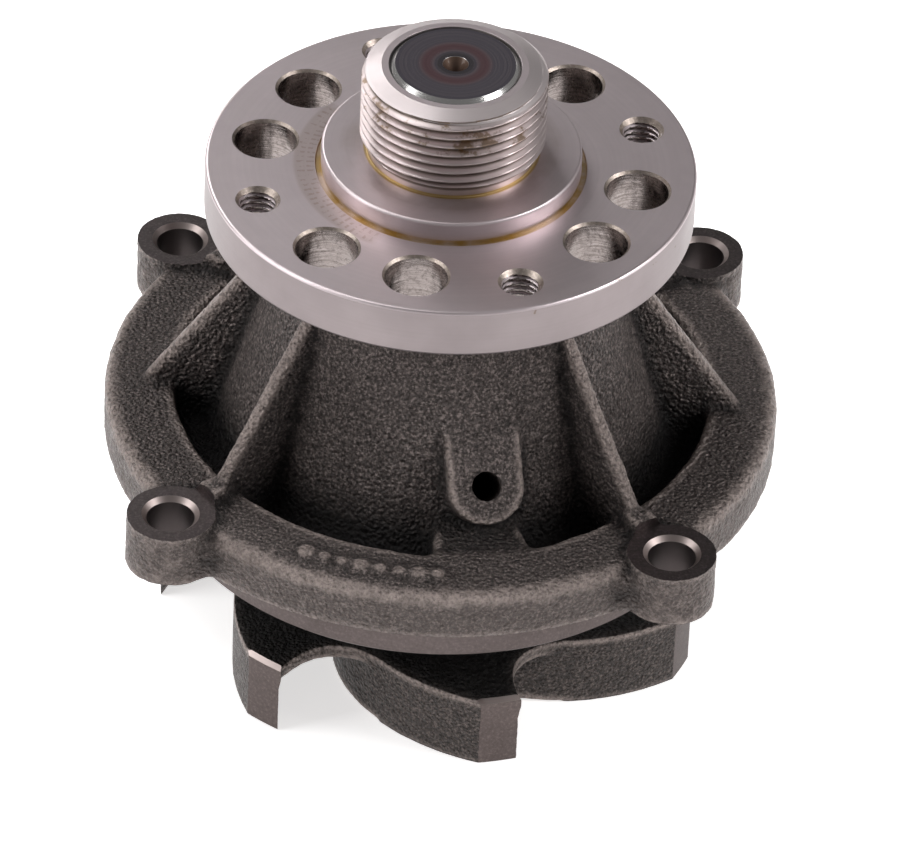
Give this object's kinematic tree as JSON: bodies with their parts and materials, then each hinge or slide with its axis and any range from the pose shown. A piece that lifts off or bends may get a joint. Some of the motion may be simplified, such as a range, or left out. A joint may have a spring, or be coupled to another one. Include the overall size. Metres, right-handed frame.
{
  "type": "engine water pump",
  "caption": "Engine coolant pump: cast iron housing with ears and ribs, threaded drive hub on a sealed bearing shaft, face seal and open curved-vane impeller.",
  "frame": {"origin": "on the shaft axis, in the plane of the mounting face where the rim and ears meet the engine", "axes": "+Z along the shaft towards the threaded drive nose; the two opposite ear holes lie on the line at 45 degrees between +X and +Y"},
  "size_m": [0.132, 0.132, 0.1289],
  "materials": {
    "cast_housing": "rough sand-cast, oiled",
    "cast_impeller": "rough sand-cast with turned tips",
    "machined_hub": "turned",
    "shaft_steel": "ground, dark oiled end",
    "bearing_steel": "ground",
    "pressed_steel": "pressed sheet",
    "spring_steel": "drawn wire",
    "seal_rubber": "moulded",
    "carbon": "lapped carbon",
    "ceramic": "lapped ceramic",
    "cage_polymer": "moulded"
  },
  "bodies": {
    "housing": {"pump_housing": "cast_housing", "bearing_outer_ring": "bearing_steel", "bearing_front_seal": "seal_rubber", "bearing_rear_seal": "seal_rubber", "seal_case": "pressed_steel", "seal_bellows": "seal_rubber", "seal_spring": "spring_steel", "spring_seat_ring": "pressed_steel", "carbon_face_ring": "carbon"},
    "rotor": {"hub_flange": "machined_hub", "bearing_shaft": "shaft_steel", "front_dust_shield": "pressed_steel", "shaft_slinger": "pressed_steel", "seal_mating_ring": "ceramic", "mating_ring_boot": "seal_rubber", "impeller": "cast_impeller"},
    "ball_set": {"bearing_balls": "bearing_steel", "ball_cage": "cage_polymer"},
    "roller_set": {"bearing_rollers": "bearing_steel", "roller_cage": "cage_polymer"}
  },
  "joints": [
    {"name": "shaft_spin", "type": "hinge", "parent": "housing", "child": "rotor", "pos_m": [0, 0, 0.04], "axis": [0, 0, 1], "continuous": true},
    {"name": "ball_cage_spin", "type": "hinge", "parent": "housing", "child": "ball_set", "pos_m": [0, 0, 0.04], "axis": [0, 0, 1], "continuous": true},
    {"name": "roller_cage_spin", "type": "hinge", "parent": "housing", "child": "roller_set", "pos_m": [0, 0, 0.02], "axis": [0, 0, 1], "continuous": true}
  ],
  "couplings": [
    {"joint": "ball_cage_spin", "follows": "shaft_spin", "ratio": 0.3547},
    {"joint": "roller_cage_spin", "follows": "shaft_spin", "ratio": 0.3922}
  ]
}
